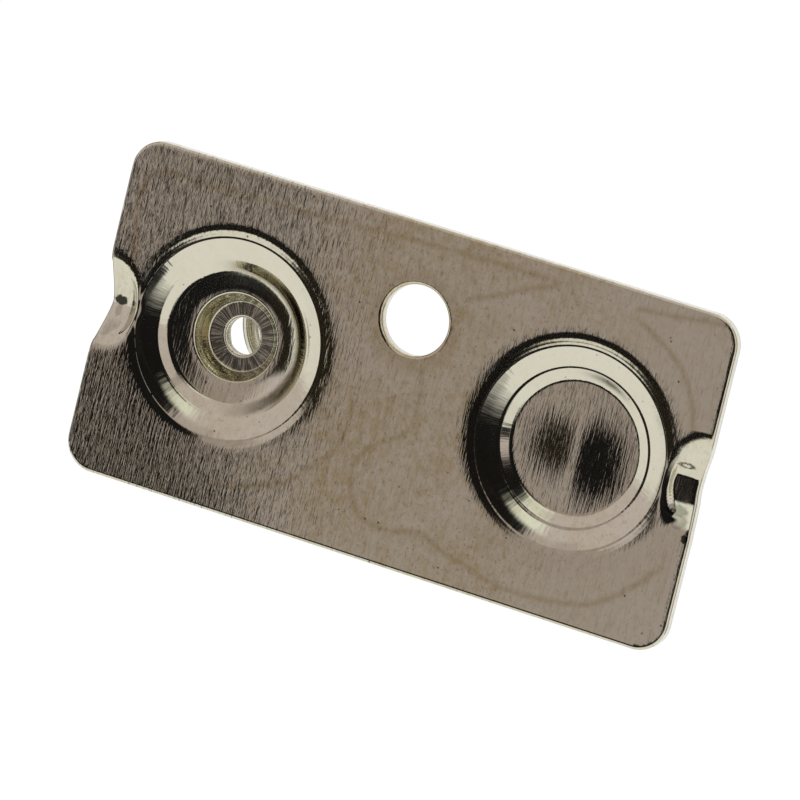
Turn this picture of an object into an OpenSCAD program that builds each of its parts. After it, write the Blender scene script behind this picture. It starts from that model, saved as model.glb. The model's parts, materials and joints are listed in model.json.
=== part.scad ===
// Battery contact that joins two cells lying side by side: one stamped sheet and one coil spring.
// The left dish carries the spring for one cell, and the right dish is the button for the other.
// The sheet is drawn lying down, with its outer face at z = 0 and its cell side below, and is then
// stood upright as a holder's slot keeps it: outer face to the front, cell side and spring behind.
// A depth is a distance below the outer face, and every dish section is a list of [radius, depth].

/* [Sheet] */
// Distance from each cell's axis to the sheet's end beyond it
end_reach = 5.65; // [5.5:0.05:8]
// Width of the sheet
sheet_width = 13.6; // [12:0.1:17]
// Thickness of the sheet
sheet_t = 0.5; // [0.4:0.05:0.6]
// Radius of the sheet's corners
corner_r = 1.25; // [0.5:0.05:2]
// Rounding that blanking leaves round the outer face
edge_roll = 0.12; // [0.05:0.01:0.2]

/* [Cells] */
// Distance between the axes of the two cells
cell_pitch = 15; // [14.6:0.1:18]

/* [Dishes] */
// Radius where a dish leaves the flat sheet
shoulder_r = 4.45; // [4.3:0.05:4.8]
// Radius of the crease at the top of the dish wall
crease_r = 4.1; // [3.9:0.05:4.25]
// Depth of that crease
crease_depth = 0.04; // [0.02:0.01:0.1]
// Radius of the fold part of the way down the wall
fold_r = 3.16; // [3.08:0.02:3.4]
// Depth of that fold
fold_depth = 0.39; // [0.3:0.01:0.5]

/* [Spring dish] */
// Radius of the dish's floor, inside the fold
floor_r = 2.64; // [2.4:0.02:2.8]
// Depth of the floor's outer edge
floor_depth = 0.74; // [0.68:0.01:0.8]
// Radius of the mouth where the floor turns down into the hub
hub_r = 1.72; // [1.6:0.01:1.8]
// Depth of that mouth
hub_depth = 0.84; // [0.82:0.01:1.1]
// Radius of the hub's own floor
hub_floor_r = 1.38; // [1.2:0.01:1.45]
// Depth of the hub's own floor
hub_floor_depth = 1.58; // [1.5:0.01:1.8]
// How far that floor rises towards the pierced hole
hub_rise = 0.04; // [0:0.01:0.1]
// Radius of the hole pierced in the hub
pierce_r = 0.75; // [0.5:0.05:0.95]
// Rounding of that hole's mouth
pierce_roll = 0.11; // [0.05:0.01:0.15]
// Radius of the hub's neck, inside the spring's first coil
neck_r = 2.05; // [2:0.01:2.2]
// How far the clinched lip stands out from the neck, over the first coil
lip_overhang = 0.25; // [0.15:0.01:0.35]
// Thickness of that lip at its thinnest
lip_t = 0.06; // [0.04:0.01:0.12]

/* [Button dish] */
// Radius of the button's floor
button_r = 2.7; // [2.3:0.05:2.75]
// Depth of the button's floor
button_depth = 0.63; // [0.55:0.01:0.8]
// Radius of the bend round the floor
button_bend_r = 0.25; // [0.1:0.05:0.6]

/* [Locating hole] */
// Radius of the hole that a peg or rivet passes through
hole_r = 1.4; // [1:0.05:1.6]
// Height of the hole above the line through the dishes
hole_up = 3; // [2.6:0.1:3.6]
// Rounding of the hole's mouth
hole_roll = 0.15; // [0.05:0.01:0.2]

/* [End grips] */
// Half the width of each pressed groove, from its middle to the bend where it starts
grip_half_w = 1.95; // [1.5:0.05:2.2]
// Depth of the groove's two slopes where they would meet
grip_depth = 0.7; // [0.4:0.02:0.8]
// Radius of the groove's bottom
grip_bottom_r = 1.5; // [0.8:0.1:2]
// Radius of the bends where the slopes leave the flat sheet
grip_bend_r = 0.7; // [0.6:0.05:0.9]
// Distance from the sheet's end to the middle of the groove's round inner end
grip_inset = 0.15; // [0.1:0.05:0.4]
// How far the sheet's end is drawn in at each groove
grip_draw = 0.28; // [0.1:0.02:0.4]

/* [Spring] */
// Diameter of the spring wire
wire_d = 0.7; // [0.5:0.05:0.85]
// Mean radius of the widest coils
wide_coil_r = 3.1; // [2.9:0.05:3.3]
// Mean radius of the coil that meets the cell
tip_coil_r = 2.35; // [2:0.05:2.6]
// Height of the free spring above the outer face
spring_height = 8.4; // [7:0.1:10]
// Turns of the first coil that lie flat round the neck
base_turns = 0.65; // [0.5:0.05:0.7]
// Turns that work as the spring
active_turns = 3.1; // [2.5:0.1:4]
// Turns of the last coil, which closes up to the one before
tip_turns = 0.9; // [0.6:0.05:1]
// Gap between the last coil and the one before
closed_gap = 0.03; // [0.02:0.01:0.1]
// Direction in which the wire starts, in degrees from the button's side, seen from the outer face
wire_start = 148; // [0:1:359]

/* [Fits] */
// Gap between the first coil and the seat that is clinched over it
seat_gap = 0.05; // [0.02:0.01:0.08]

/* [Hidden] */
$fn = 96;
// Overshoot of a cut past the face that it opens
over = 0.5;
// Chords in each rounded bend of a section, an even number so that one corner lies mid-bend
bend_steps = 6;
// Rings of the wire in one turn, and sides of each ring
rings_per_turn = 28;
wire_sides = 16;
// Share of the working turns over which the open pitch starts, and again over which it stops
pitch_ease = 0.08;
// Turns over which the wire leaves the flat first coil
lift_turns = 0.25;
// Turns from the wire's start to where it has widened, and to where it begins to narrow
widen_to = base_turns + 0.35;
narrow_from = base_turns + 1.5;

sheet_length = cell_pitch + 2 * end_reach;
half_l = sheet_length / 2;
half_w = sheet_width / 2;
wire_r = wire_d / 2;
seat_r = wire_r + seat_gap;
hub_end = hub_floor_depth + sheet_t;
lip_r = neck_r + lip_overhang;
base_coil_r = neck_r + seat_r;
base_coil_depth = hub_end - lip_t - seat_r;
tip_coil_depth = spring_height - wire_r;
closed_pitch = wire_d + closed_gap;
total_turns = base_turns + active_turns + tip_turns;

function unit(v) = v / norm(v);

// Arc of radius r that rounds the corner b between the points a and c
function bend(a, b, c, r) =
    let (
        to_a = unit(a - b),
        to_c = unit(c - b),
        half = acos(to_a * to_c) / 2,
        centre = b + unit(to_a + to_c) * r / sin(half),
        from = b + to_a * r / tan(half) - centre,
        to = b + to_c * r / tan(half) - centre
    )
    [for (i = [0:bend_steps])
        centre + r * unit(from * (1 - i / bend_steps) + to * i / bend_steps)];

// A section, from corners that are given as [radius, depth, bend radius]
function rounded(corners) =
    let (p = [for (c = corners) [c[0], c[1]]], last = len(p) - 1)
    [for (i = [0:last])
        each (i == 0 || i == last || corners[i][2] == 0
            ? [p[i]] : bend(p[i - 1], p[i], p[i + 1], corners[i][2]))];

// Direction out of the cell side for the stretch of a section from a to b
function normal(a, b) = let (along = unit(b - a)) [-along[1], along[0]];

// The cell side of the sheet, one thickness away all along the section of its outer face.
// The section is mirrored at its middle, and goes on flat past its last point.
function cell_side(path) =
    let (last = len(path) - 1)
    [for (i = [0:last])
        let (
            after = i == last ? [0, 1] : normal(path[i], path[i + 1]),
            before = i == 0 ? [-after[0], after[1]] : normal(path[i - 1], path[i])
        )
        path[i] + sheet_t * (after + before) / (1 + after * before)];

// Outer face of the wall that both dishes share, from the fold out to the flat sheet
dish_wall = [
    [fold_r, fold_depth, 0],
    [crease_r, crease_depth, 0],
    [shoulder_r, 0, 0]
];

// The spring dish from its hub out, then its whole outer face, and the boss behind it with a flat end
spring_wall = concat([
    [hub_floor_r, hub_floor_depth, 0],
    [hub_r, hub_depth, 0],
    [floor_r, floor_depth, 0]
], dish_wall);

spring_dish = rounded(concat([
    [0, hub_floor_depth - hub_rise, 0],
    [pierce_r + pierce_roll, hub_floor_depth - hub_rise, 0]
], spring_wall));

spring_boss = rounded(concat([[0, hub_floor_depth, 0]], spring_wall));

button_dish = rounded(concat([
    [0, button_depth, 0],
    [button_r, button_depth, button_bend_r]
], dish_wall));

// The groove's whole section, and the half of it from the middle out
grip_whole = rounded([
    [-2 * grip_half_w, 0, 0],
    [-grip_half_w, 0, grip_bend_r],
    [0, grip_depth, grip_bottom_r],
    [grip_half_w, 0, grip_bend_r],
    [2 * grip_half_w, 0, 0]
]);
grip_side = [for (p = grip_whole) if (p[0] > -0.001 && p[0] < 2 * grip_half_w) [max(p[0], 0), p[1]]];
grip_edge = grip_side[len(grip_side) - 1][0];

// The area between a half section and a level depth
module half_section(path, level) {
    last = path[len(path) - 1];
    polygon(concat([for (p = path) [p[0], -p[1]]], [[last[0], -level], [0, -level]]));
}

// Pressed shape of a dish, round its axis
module dish(path, level) {
    rotate_extrude() half_section(path, level);
}

// Pressed shape of an end groove: round at its inner end, and running straight out over the edge
module grip(path, level) {
    rotate_extrude() half_section(path, level);
    rotate([90, 0, 90])
        linear_extrude(grip_inset + over) {
            half_section(path, level);
            mirror([1, 0]) half_section(path, level);
        }
}

module at_spring() {
    translate([-cell_pitch / 2, 0, 0]) children();
}

module at_button() {
    translate([cell_pitch / 2, 0, 0]) children();
}

module at_grips() {
    for (side = [0, 1])
        mirror([side, 0, 0])
            translate([half_l - grip_inset, 0, 0])
                children();
}

// Stands what is drawn lying down upright, outer face to the front
module upright() {
    rotate([90, 0, 0]) children();
}

module outline() {
    for (x = [-1, 1], y = [-1, 1])
        translate([x * (half_l - corner_r), y * (half_w - corner_r)])
            circle(corner_r);
    square([sheet_length - 2 * corner_r, sheet_width], center = true);
    square([sheet_length, sheet_width - 2 * corner_r], center = true);
}

// What blanking rounds off a square edge, which lies at the origin with the sheet to its left
module rolled_off(r) {
    difference() {
        translate([-r, -r]) square(r + over);
        translate([-r, -r]) circle(r);
    }
}

// The rounding all round the sheet's outer face
module edge_rolls() {
    for (turn = [0, 180]) rotate(turn) {
        translate([half_l, 0, 0])
            rotate([90, 0, 0])
                linear_extrude(sheet_width - 2 * corner_r, center = true)
                    rolled_off(edge_roll);
        translate([0, half_w, 0])
            rotate([90, 0, 90])
                linear_extrude(sheet_length - 2 * corner_r, center = true)
                    rolled_off(edge_roll);
        translate([half_l - corner_r, half_w - corner_r, 0])
            rotate_extrude(angle = 90)
                translate([corner_r, 0]) rolled_off(edge_roll);
        translate([half_l - corner_r, corner_r - half_w, 0])
            rotate(-90)
                rotate_extrude(angle = 90)
                    translate([corner_r, 0]) rolled_off(edge_roll);
    }
}

// A round hole right through, with the rounded mouth that its punch leaves at a depth
module punched(r, roll, depth) {
    translate([0, 0, -hub_end - over])
        cylinder(r = r, h = hub_end + 2 * over);
    translate([0, 0, -depth])
        rotate_extrude()
            difference() {
                translate([0, -roll]) square([r + roll, roll + over]);
                translate([r + roll, -roll]) circle(roll);
            }
}

// The sheet's ends, pulled in along a shallow arc where the grooves are pressed
module drawn_in_ends() {
    arc_r = (grip_edge * grip_edge + grip_draw * grip_draw) / (2 * grip_draw);
    for (side = [-1, 1])
        translate([side * (half_l - grip_draw + arc_r), 0, -hub_end])
            cylinder(r = arc_r, h = hub_end + over, $fn = 360);
}

// Hub that is closed over the spring's first coil
module clinched_hub() {
    translate([0, 0, -hub_end])
        cylinder(r = lip_r, h = hub_end - hub_depth);
}

module coil_seat() {
    rotate_extrude()
        translate([base_coil_r, -base_coil_depth]) circle(seat_r);
}

module contact_plate() {
    color([0.66, 0.63, 0.57])
        upright()
            difference() {
                intersection() {
                    union() {
                        translate([-sheet_length, -sheet_width, -sheet_t])
                            cube([2 * sheet_length, 2 * sheet_width, sheet_t]);
                        at_spring() dish(cell_side(spring_boss), sheet_t / 2);
                        at_spring() clinched_hub();
                        at_button() dish(cell_side(button_dish), sheet_t / 2);
                        at_grips() grip(cell_side(grip_side), sheet_t / 2);
                    }
                    translate([0, 0, -hub_end - over])
                        linear_extrude(hub_end + 2 * over) outline();
                }
                at_spring() dish(spring_dish, -over);
                at_spring() punched(pierce_r, pierce_roll, hub_floor_depth - hub_rise);
                at_spring() coil_seat();
                at_button() dish(button_dish, -over);
                at_grips() grip(grip_side, -over);
                translate([0, hole_up, 0]) punched(hole_r, hole_roll, 0);
                drawn_in_ends();
                edge_rolls();
            }
}

// Rises from 0 to 1 with a flat start and a flat end
function smooth(s) = let (c = min(max(s, 0), 1)) c * c * (3 - 2 * c);

// Rises from 0 to 1 at an even pace, with a short ease at each end
function eased(s) =
    let (c = min(max(s, 0), 1), e = pitch_ease, pace = 1 / (1 - e))
    c < e ? pace * c * c / (2 * e)
    : c > 1 - e ? 1 - pace * (1 - c) * (1 - c) / (2 * e)
    : pace * (c - e / 2);

// Turns climbed at the closed pitch, once the wire has left the flat first coil
function lifted(turns) =
    turns < lift_turns ? pow(max(turns, 0), 2) / (2 * lift_turns) : turns - lift_turns / 2;

function coil_r(turn) =
    base_coil_r
    + (wide_coil_r - base_coil_r) * smooth((turn - base_turns) / (widen_to - base_turns))
    + (tip_coil_r - wide_coil_r)
        * smooth((turn - narrow_from) / (base_turns + active_turns - narrow_from));

// The closed pitch all the way, and on the working turns what is left of the height besides
function coil_depth(turn) =
    let (
        closed = closed_pitch * lifted(turn - base_turns),
        open = tip_coil_depth - base_coil_depth
            - closed_pitch * lifted(active_turns + tip_turns)
    )
    base_coil_depth + closed + open * eased((turn - base_turns) / active_turns);

// Middle of the wire, a number of turns from its start
function wire_at(turn) =
    let (a = wire_start - 360 * turn, r = coil_r(turn))
    [r * cos(a), r * sin(a), -coil_depth(turn)];

// One ring of the wire's skin, square to the wire
function wire_ring(turn) =
    let (
        step = 0.001,
        along = unit(wire_at(turn + step) - wire_at(turn - step)),
        a = wire_start - 360 * turn,
        radial = [cos(a), sin(a), 0],
        out = unit(radial - (radial * along) * along),
        side = cross(along, out)
    )
    [for (i = [0:wire_sides - 1])
        let (b = 360 * i / wire_sides)
        wire_at(turn) + wire_r * (cos(b) * out + sin(b) * side)];

module coil_spring() {
    rings = ceil(total_turns * rings_per_turn);
    n = wire_sides;
    points = [for (k = [0:rings]) each wire_ring(total_turns * k / rings)];
    skin = [for (k = [0:rings - 1], i = [0:n - 1])
        let (j = (i + 1) % n)
        each [
            [k * n + i, k * n + j, (k + 1) * n + i],
            [k * n + j, (k + 1) * n + j, (k + 1) * n + i]
        ]];
    start_cap = [for (i = [0:n - 1]) n - 1 - i];
    end_cap = [for (i = [0:n - 1]) rings * n + i];
    color([0.78, 0.76, 0.7])
        upright()
            at_spring()
                polyhedron(points, concat(skin, [start_cap, end_cap]));
}

contact_plate();
coil_spring();
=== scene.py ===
import json
import math

import bmesh
import bpy
import numpy as np
from mathutils import Matrix, Vector
from mathutils.geometry import delaunay_2d_cdt


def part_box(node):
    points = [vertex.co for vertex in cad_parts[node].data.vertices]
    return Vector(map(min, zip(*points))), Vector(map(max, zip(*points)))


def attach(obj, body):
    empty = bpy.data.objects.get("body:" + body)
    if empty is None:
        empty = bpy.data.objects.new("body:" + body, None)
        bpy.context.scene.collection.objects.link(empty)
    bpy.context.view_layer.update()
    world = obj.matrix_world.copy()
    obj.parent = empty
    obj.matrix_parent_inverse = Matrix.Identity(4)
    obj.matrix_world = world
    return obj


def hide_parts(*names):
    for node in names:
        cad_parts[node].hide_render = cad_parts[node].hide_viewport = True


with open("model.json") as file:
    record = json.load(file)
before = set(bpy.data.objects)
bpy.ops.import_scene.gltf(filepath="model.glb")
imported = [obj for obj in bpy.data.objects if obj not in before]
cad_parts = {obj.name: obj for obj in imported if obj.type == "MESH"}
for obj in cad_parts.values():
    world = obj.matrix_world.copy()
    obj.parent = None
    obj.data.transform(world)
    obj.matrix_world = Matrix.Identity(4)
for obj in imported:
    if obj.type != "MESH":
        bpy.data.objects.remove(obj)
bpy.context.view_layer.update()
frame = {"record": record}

# The looks of a battery contact: one stamped, nickel-plated sheet and one coil spring.
# Shapes are worked out in millimetres on the sheet: x along it, z up it, and a depth behind its
# outer face, which is the frame's y. Vertices go into the meshes in metres.
MM = 0.001

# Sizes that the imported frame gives
SHEET_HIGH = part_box("contact_plate")[1] / MM
SPRING_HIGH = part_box("coil_spring")[1] / MM
MOUNTS = {m["name"]: m for m in frame["record"]["mounts"]}
HALF_L = SHEET_HIGH.x
HALF_W = SHEET_HIGH.z
HUB_END = SHEET_HIGH.y
HALF_PITCH = MOUNTS["button_face"]["pos_m"][0] / MM
HOLE_UP = MOUNTS["locating_hole"]["pos_m"][2] / MM
HOLE_R = MOUNTS["locating_hole"]["dims"]["r_mm"]
SPRING_HEIGHT = SPRING_HIGH.y

# The sheet and its rounded edges
SHEET_T = 0.5
CORNER_R = 1.25
EDGE_ROLL = 0.12
EDGE_BREAK = 0.03
HOLE_ROLL = 0.15

# Sections of the dishes' outer face, as (radius, depth, bend radius), both with the same steep
# wall and soft shoulder. The spring dish's steep band runs on below its floor, and its hub's wall
# runs on above the floor, and they are cut there.
PIERCE_R = 0.75
PIERCE_ROLL = 0.11
HUB_FLOOR_DEPTH = 1.54
SHOULDER = [
    (3.22, 0.400, 0.04),
    (3.60, 0.222, 2.2),
    (3.98, 0.102, 0.06),
    (4.06, 0.093, 0.06),
    (4.15, 0.072, 0.20),
    (4.32, 0.042, 0.7),
    (4.52, 0.022, 1.0),
    (4.85, 0.006, 2.5),
    (5.20, 0.0, 0.0),
]
SPRING_RIM = [(1.60, 1.72, 0.0), (3.14, 0.43, 0.06)] + SHOULDER
HUB = [
    (0.0, HUB_FLOOR_DEPTH, 0.0),
    (1.40, 1.57, 0.12),
    (1.64, 1.22, 0.60),
    (2.60, -1.2, 0.0),
]
BUTTON_RIM = [(0.0, 0.66, 0.0), (2.67, 0.66, 0.45), (3.10, 0.416, 0.04)] + SHOULDER
DISH_EDGE_R = 5.0
# The spring dish's floor, a shallow bowl that tilts towards the button, and where it gives way
# to the wall, on the outer face and behind
BOWL = [(0.0, 0.965, 0.0), (1.95, 0.935, 2.5), (2.90, 0.800, 0.0)]
FLOOR_TILT = 0.045
FLOOR_LIMIT_R = 3.5
BOSS_LIMIT_R = 3.4
# The bend between wall and floor: on the far side, towards the button, and over what distance
BOWL_BLEND = (0.03, 0.12)
BOWL_BLEND_REACH = 2.5
BOWL_BLEND_EASE = 0.5
LEAST_BLEND = 1e-4
# The bend between the floor and the hub, and where the hub starts
MOUTH_BLEND = 0.05
MOUTH_LIMIT_R = 2.5
# How far the steep band lies off centre towards the button, its middle radius and its half width
BAND_SHIFT = 0.13
BAND_MIDDLE = 2.95
BAND_HALF = 0.45

# The end grooves, as (height, depth, bend radius) across each
LEFT_GRIP = [
    (-3.0, 0.0, 0.0),
    (-2.30, 0.0, 0.6),
    (-0.02, 0.62, 0.08),
    (2.30, 0.0, 0.6),
    (3.0, 0.0, 0.0),
]
RIGHT_GRIP = [
    (-3.0, 0.0, 0.0),
    (-1.75, 0.0, 0.9),
    (-0.66, 0.45, 0.2),
    (0.26, 0.49, 0.3),
    (2.20, 0.0, 0.6),
    (3.0, 0.0, 0.0),
]
# The round walls that end the grooves, as (distance in from the wall's edge, depth, bend radius)
LEFT_WALL = [
    (-3.0, 0.0, 0.0),
    (0.34, 0.0, 4.0),
    (0.74, 0.065, 0.1),
    (1.25, 0.70, 0.0),
    (3.0, 2.6, 0.0),
]
RIGHT_WALL = [
    (-3.0, 0.0, 0.0),
    (0.22, 0.0, 2.3),
    (0.66, 0.165, 0.03),
    (0.76, 0.55, 0.0),
    (3.0, 4.0, 0.0),
]
LEFT_WALL_R = 2.17
RIGHT_WALL_R = 1.92
WALL_SQUASH = 0.85
GRIP_INSET = 0.15
GRIP_EDGE = 2.1
GRIP_DRAW = 0.28
GRIP_BLEND = 0.02
GRIP_LIMIT = 3
# The right groove deepens by this share for each millimetre past a place
RIGHT_GRIP_RISE = 0.16
RIGHT_GRIP_FROM = 12.4

# The hub behind the spring dish, closed over the spring's first coil. The seat is an arc in the
# section, between two directions in degrees.
LIP_R = 2.30
LIP_T = 0.06
LIP_BREAK = 0.04
NECK_R = 2.05
SEAT_R = 0.40
SEAT_ARC = (112, 304)

# The spring's wire
WIRE_R = 0.35
WIDE_COIL_R = 3.1
TIP_COIL_R = 2.2
BASE_TURNS = 0.65
ACTIVE_TURNS = 3.1
TIP_TURNS = 0.9
CLOSED_PITCH = 0.73
WIRE_START = 148
WIRE_BREAK = 0.04
# Turns over which the coil widens, after which it narrows, and over which its pitch starts;
# and the share of the free coils over which the pitch eases
WIDEN_TURNS = 0.35
NARROW_AFTER = 1.5
LIFT_TURNS = 0.25
PITCH_EASE = 0.08

# The camera, fitted to the sheet's edges and rings in the photo
CAMERA_AT = (0.126465, -0.334059, 0.067156)
CAMERA_RIGHT = (0.8931, 0.3846, 0.2332)
CAMERA_UP = (-0.2857, 0.0845, 0.9546)
CAMERA_BACK = (0.3474, -0.9192, 0.1853)
IMAGE_PX = 800
FOCAL_PX = 9302.15
SENSOR_MM = 36

# The meshes' fineness, in millimetres between points or in points round a ring
RING = 240
BACK_RING = 120
HOLE_RING = 128
FRONT_SPACING = 0.11
BACK_SPACING = 0.3
EDGE_SPACING = 0.12
ROW_SHARE = 0.866
CORNER_STEPS = 24
ROLL_STEPS = 5
CAP_R = 0.02
# Stretches of rings from the middle outwards, as (end radius, spacing)
HUB_RINGS = [(2.0, 0.035), (2.45, 0.05)]
BUTTON_RINGS = [(2.45, 0.09)]
WALL_RINGS = [(3.30, 0.024), (3.92, 0.06), (4.24, 0.02), (4.6, 0.04), (DISH_EDGE_R, 0.07)]
BOSS_RINGS = [(3.7, 0.05), (DISH_EDGE_R, 0.12)]
BUTTON_BACK_RINGS = [(2.3, 0.3), (DISH_EDGE_R, 0.06)]
WIRE_SIDES = 24
WIRE_RINGS_PER_TURN = 96


# Sections

LEAST_R = 1e-6


def unit(v):
    return v / np.linalg.norm(v)


def rounded(corners, steps=8):
    """Points of a section whose corners are bent to their own radii."""
    points = [np.array(c[:2]) for c in corners]
    out = [points[0]]
    for i in range(1, len(points) - 1):
        before, here, after = points[i - 1 : i + 2]
        radius = corners[i][2]
        to_a, to_c = unit(before - here), unit(after - here)
        half = math.acos(np.clip(to_a @ to_c, -1, 1)) / 2
        reach = radius / math.tan(half)
        if radius == 0 or half > math.pi / 2 - 1e-4:
            out.append(here)
            continue
        centre = here + unit(to_a + to_c) * radius / math.sin(half)
        start, end = here + to_a * reach - centre, here + to_c * reach - centre
        for k in range(steps + 1):
            share = k / steps
            out.append(centre + radius * unit(start * (1 - share) + end * share))
    out.append(points[-1])
    return np.array(out)


def smooth(s):
    c = np.clip(s, 0, 1)
    return c * c * (3 - 2 * c)


def past(value, edge):
    """0 up to an edge and 1 past it. An edge is the place where it starts and its width."""
    return smooth((value - edge[0]) / edge[1])


def near(value, middle, half, power=2):
    """1 at a middle, and easing to 0 past a half width."""
    return np.exp(-(np.abs(value - middle) / half) ** power)


def offset_section(section, distance):
    """The same section a distance further in, without the points that a tight bend folds back."""
    along = np.diff(section, axis=0)
    along /= np.linalg.norm(along, axis=1)[:, None]
    normals = np.stack([-along[:, 1], along[:, 0]], axis=1)
    before = np.vstack([normals[:1], normals])
    after = np.vstack([normals, normals[-1:]])
    share = 1 + (before * after).sum(axis=1)
    moved = section + distance * (before + after) / share[:, None]
    return moved[moved[:, 0] >= np.maximum.accumulate(moved[:, 0])]


RIM_FRONT = rounded(SPRING_RIM)
HUB_FRONT = rounded(HUB)
BOWL_FRONT = rounded(BOWL)
BUTTON_FRONT = rounded(BUTTON_RIM)
RIM_BACK = offset_section(RIM_FRONT, SHEET_T)
BUTTON_BACK = offset_section(BUTTON_FRONT, SHEET_T)
LEFT_SECTION = rounded(LEFT_GRIP)
RIGHT_SECTION = rounded(RIGHT_GRIP)
LEFT_WALL_SECTION = rounded(LEFT_WALL)
RIGHT_WALL_SECTION = rounded(RIGHT_WALL)


def joined_depth(a, b, blend=0.03):
    """The deeper of two pressed forms, with the bend between them rounded."""
    return (a + b + np.sqrt((a - b) ** 2 + blend ** 2) - blend) / 2


def lesser(a, b, blend):
    """The lesser of two depths, with the corner between them rounded."""
    return (a + b - np.sqrt((a - b) ** 2 + blend ** 2) + blend) / 2


def level(r, section):
    """Depth of a section at a radius."""
    return np.interp(r, section[:, 0], section[:, 1])


def grip_reach(x, z):
    """Distance from the middle of the sheet's nearer end, over an oval."""
    inwards = np.maximum(HALF_L - GRIP_INSET - np.abs(x), 0)
    return np.hypot(inwards, WALL_SQUASH * z)


def grip_depth(x, z):
    """Depth of the end grooves: a gutter across each end, closed by a round wall."""
    reach = grip_reach(x, z)
    left = level(z, LEFT_SECTION)
    left = lesser(left, level(LEFT_WALL_R - reach, LEFT_WALL_SECTION), GRIP_BLEND)
    right = level(z, RIGHT_SECTION) * (1 + RIGHT_GRIP_RISE * (np.abs(x) - RIGHT_GRIP_FROM))
    right = lesser(right, level(RIGHT_WALL_R - reach, RIGHT_WALL_SECTION), GRIP_BLEND)
    return np.where(x < 0, left, right) * (reach < GRIP_LIMIT)


def spring_dish(x, z):
    """Depth of the spring dish: a steep band down to a tilted floor, and the hub drawn into it."""
    r = np.hypot(x + HALF_PITCH, z)
    across = x + HALF_PITCH
    floor = level(r, BOWL_FRONT) + FLOOR_TILT * across
    shift = BAND_SHIFT * near(r, BAND_MIDDLE, BAND_HALF, 4)
    shift = shift * np.maximum(across, 0) / np.maximum(r, LEAST_R)
    rim = level(r - shift, RIM_FRONT)
    far, close = BOWL_BLEND
    blend = far + (close - far) * smooth(across / BOWL_BLEND_REACH)
    blend = blend * smooth((FLOOR_LIMIT_R - r) / BOWL_BLEND_EASE) + LEAST_BLEND
    dish = np.where(r < FLOOR_LIMIT_R, lesser(rim, floor, blend) - blend / 2, rim)
    mouth = joined_depth(dish, level(r, HUB_FRONT), MOUTH_BLEND) + MOUTH_BLEND / 2
    return np.where(r < MOUTH_LIMIT_R, mouth, dish)


def spring_boss(x, z):
    """Depth of the cell side round the hub, where the spring's seat ends."""
    r = np.hypot(x + HALF_PITCH, z)
    floor = level(r, BOWL_FRONT) + FLOOR_TILT * (x + HALF_PITCH)
    wall = level(r, RIM_BACK) - SHEET_T
    return np.where(r < BOSS_LIMIT_R, np.minimum(wall, floor), wall)


def front_depth(x, z):
    """Depth of the outer face at places on the sheet."""
    x, z = np.asarray(x, float), np.asarray(z, float)
    button = level(np.hypot(x - HALF_PITCH, z), BUTTON_FRONT)
    return joined_depth(spring_dish(x, z) * (x < 0) + button * (x >= 0), grip_depth(x, z))


def back_depth(x, z):
    """Depth of the cell side at places on the sheet."""
    x, z = np.asarray(x, float), np.asarray(z, float)
    button = level(np.hypot(x - HALF_PITCH, z), BUTTON_BACK) - SHEET_T
    return SHEET_T + joined_depth(spring_boss(x, z) * (x < 0) + button * (x >= 0), grip_depth(x, z))


# Mesh parts

class Shell:
    """Vertices and faces gathered from patches, welded at the end."""

    def __init__(self):
        self.points = []
        self.faces = []

    def add(self, points, faces):
        start = len(self.points)
        self.points.extend(tuple(p) for p in points)
        self.faces.extend(tuple(start + i for i in f) for f in faces)

    def strip(self, loops):
        """Quads between closed loops that have the same number of points."""
        n = len(loops[0])
        points = [p for loop in loops for p in loop]
        faces = []
        for k in range(len(loops) - 1):
            for i in range(n):
                j = (i + 1) % n
                faces.append((k * n + i, k * n + j, (k + 1) * n + j, (k + 1) * n + i))
        self.add(points, faces)

    def build(self, name, weld=1e-5):
        mesh = bpy.data.meshes.new(name)
        mesh.from_pydata([Vector(p) * MM for p in self.points], [], self.faces)
        obj = bpy.data.objects.new(name, mesh)
        bpy.context.scene.collection.objects.link(obj)
        bm = bmesh.new()
        bm.from_mesh(mesh)
        bmesh.ops.remove_doubles(bm, verts=bm.verts, dist=weld * MM)
        bmesh.ops.recalc_face_normals(bm, faces=bm.faces)
        bm.to_mesh(mesh)
        bm.free()
        mesh.shade_smooth()
        return obj


def circle(r, count, cx=0.0, cz=0.0):
    turn = np.linspace(0, 2 * math.pi, count, endpoint=False)
    return np.stack([cx + r * np.cos(turn), cz + r * np.sin(turn)], axis=1)


def outline(inset):
    """The sheet's outline, drawn in at the grooves, as points that lie evenly along it."""
    r = CORNER_R - inset
    points = []
    for quarter, (sx, sz) in enumerate([(1, 1), (-1, 1), (-1, -1), (1, -1)]):
        centre = np.array([sx * (HALF_L - CORNER_R), sz * (HALF_W - CORNER_R)])
        for k in range(CORNER_STEPS + 1):
            a = math.radians(90 * quarter + 90 * k / CORNER_STEPS)
            points.append(centre + r * np.array([math.cos(a), math.sin(a)]))
        side = 2 * (HALF_L - CORNER_R) if quarter in (0, 2) else 2 * (HALF_W - CORNER_R)
        away = np.array([[-1, 0], [0, -1], [1, 0], [0, 1]][quarter])
        count = round(side / EDGE_SPACING)
        start = points[-1]
        points.extend(start + away * side * k / count for k in range(1, count))
    points = np.array(points)
    ends = np.abs(points[:, 0]) > HALF_L - CORNER_R
    share = np.clip(np.abs(points[:, 1]) / GRIP_EDGE, 0, 1)
    pull = GRIP_DRAW * (1 - smooth(share)) * ends
    points[:, 0] -= np.sign(points[:, 0]) * pull
    return points


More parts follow.
